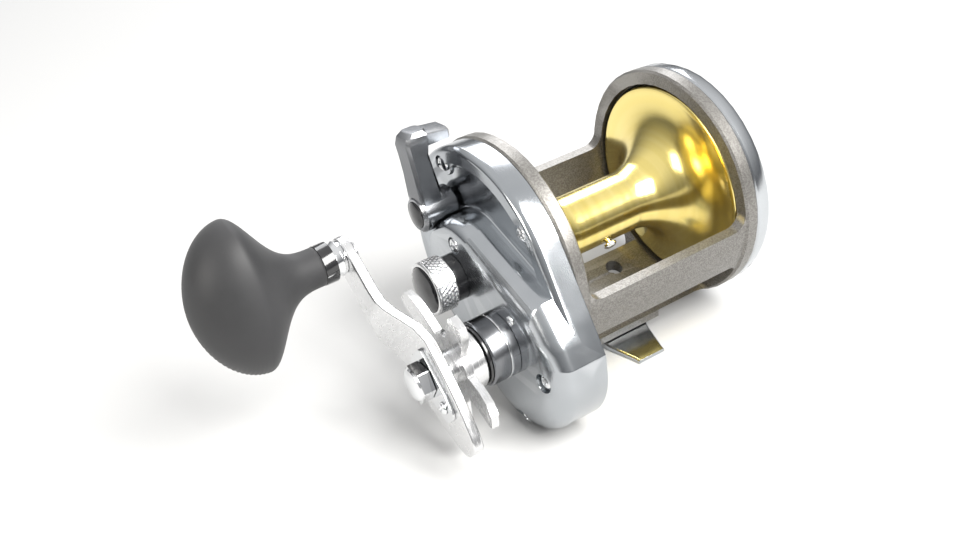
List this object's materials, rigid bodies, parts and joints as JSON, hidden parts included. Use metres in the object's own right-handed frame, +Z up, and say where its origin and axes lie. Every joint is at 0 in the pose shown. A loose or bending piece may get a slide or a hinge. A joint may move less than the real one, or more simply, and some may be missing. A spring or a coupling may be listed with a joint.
{
  "type": "trolling reel",
  "caption": "Overhead star-drag trolling reel: open cage, flared spool, gear case with crank, star drag, clutch lever, tension knob and clamp-on foot.",
  "frame": {"origin": "centre of the foot's underside, where it rests on the rod's reel seat", "axes": "+X along the spool axis to the handle side, +Y forward to the rod tip, +Z up from the foot"},
  "size_m": [0.1894, 0.0969, 0.0896],
  "materials": {
    "frame_paint": "satin titanium grey with fine flake",
    "plate_metal": "polished cold-grey casting",
    "gold": "gold anodised, turned",
    "bright_aluminium": "bright satin",
    "chrome": "polished",
    "dark_metal": "dark satin chrome",
    "steel": "ground",
    "brass": "machined",
    "black_plastic": "gloss black",
    "rubber": "soft matt charcoal",
    "drag_fabric": "woven carbon",
    "brake_plastic": "matt"
  },
  "bodies": {
    "frame_group": {"frame": "frame_paint", "reel_foot": "plate_metal", "foot_screw_rear": "chrome", "foot_screw_front": "chrome", "left_side_plate": "plate_metal", "left_plate_screw_1": "chrome", "left_plate_screw_2": "chrome", "left_plate_screw_3": "chrome", "left_plate_screw_4": "chrome", "left_spool_bearing": "steel", "brake_ring": "brass", "gear_plate": "steel", "drive_shaft_bushing": "brass", "right_side_plate": "plate_metal", "side_screw_knob": "chrome", "side_screw_top_front": "chrome", "side_screw_top_rear": "chrome", "side_screw_front": "chrome", "side_screw_bottom": "chrome", "boss_screw": "chrome", "drive_boss": "dark_metal", "boss_seam_ring": "chrome", "one_way_bearing": "steel", "boss_seal": "black_plastic", "tension_collar": "black_plastic", "right_spool_bearing": "steel", "yoke_post_1": "steel", "yoke_post_2": "steel", "yoke_spring_1": "steel", "yoke_spring_2": "steel"},
    "spool_group": {"spool": "gold", "line_pin": "chrome", "spool_shaft": "steel", "clutch_cross_pin": "steel", "brake_hub": "black_plastic", "brake_block_1": "brake_plastic", "brake_block_2": "brake_plastic"},
    "crank_group": {"drive_shaft": "steel", "roller_sleeve": "steel", "main_gear": "brass", "drag_washer_inner": "drag_fabric", "drag_plate": "steel", "drag_washer_outer": "drag_fabric", "drag_spring_washer": "steel", "handle_arm": "bright_aluminium", "handle_nut": "chrome", "nut_retainer": "chrome", "retainer_screw": "chrome", "knob_spindle": "chrome"},
    "star_group": {"drag_nut": "bright_aluminium", "star_drag": "bright_aluminium"},
    "knob_group": {"knob_grip": "rubber", "knob_collar": "black_plastic"},
    "lever_group": {"clutch_lever": "dark_metal", "lever_cap": "black_plastic", "clutch_cam": "dark_metal"},
    "yoke_group": {"clutch_yoke": "dark_metal"},
    "pinion_group": {"pinion_gear": "brass"},
    "tension_group": {"tension_knob": "bright_aluminium", "tension_knob_insert": "black_plastic"}
  },
  "joints": [
    {"name": "crank_spin", "type": "hinge", "parent": "frame_group", "child": "crank_group", "pos_m": [0.038, 0.0245, 0.0312], "axis": [1, 0, 0], "continuous": true},
    {"name": "spool_spin", "type": "hinge", "parent": "frame_group", "child": "spool_group", "pos_m": [0, 0, 0.044], "axis": [1, 0, 0], "continuous": true},
    {"name": "star_turn", "type": "hinge", "parent": "crank_group", "child": "star_group", "pos_m": [0.076, 0.0245, 0.0312], "axis": [1, 0, 0], "range_deg": [-150, 150]},
    {"name": "knob_spin", "type": "hinge", "parent": "crank_group", "child": "knob_group", "pos_m": [0.098, -0.0071, 0.06385], "axis": [1, 0, 0], "continuous": true},
    {"name": "clutch_lever_turn", "type": "hinge", "parent": "frame_group", "child": "lever_group", "pos_m": [0.05, -0.0165, 0.061], "axis": [1, 0, 0], "range_deg": [0, 30]},
    {"name": "yoke_slide", "type": "slide", "parent": "frame_group", "child": "yoke_group", "axis": [1, 0, 0], "range_m": [0, 0.0025]},
    {"name": "pinion_spin", "type": "hinge", "parent": "yoke_group", "child": "pinion_group", "pos_m": [0.045, 0, 0.044], "axis": [1, 0, 0], "continuous": true},
    {"name": "tension_turn", "type": "hinge", "parent": "frame_group", "child": "tension_group", "pos_m": [0.065, 0, 0.044], "axis": [1, 0, 0], "range_deg": [-160, 160]}
  ],
  "couplings": [
    {"joint": "spool_spin", "follows": "crank_spin", "ratio": -4.9},
    {"joint": "pinion_spin", "follows": "crank_spin", "ratio": -4.9},
    {"joint": "yoke_slide", "follows": "clutch_lever_turn", "m_per_rad": 0.0047726}
  ]
}
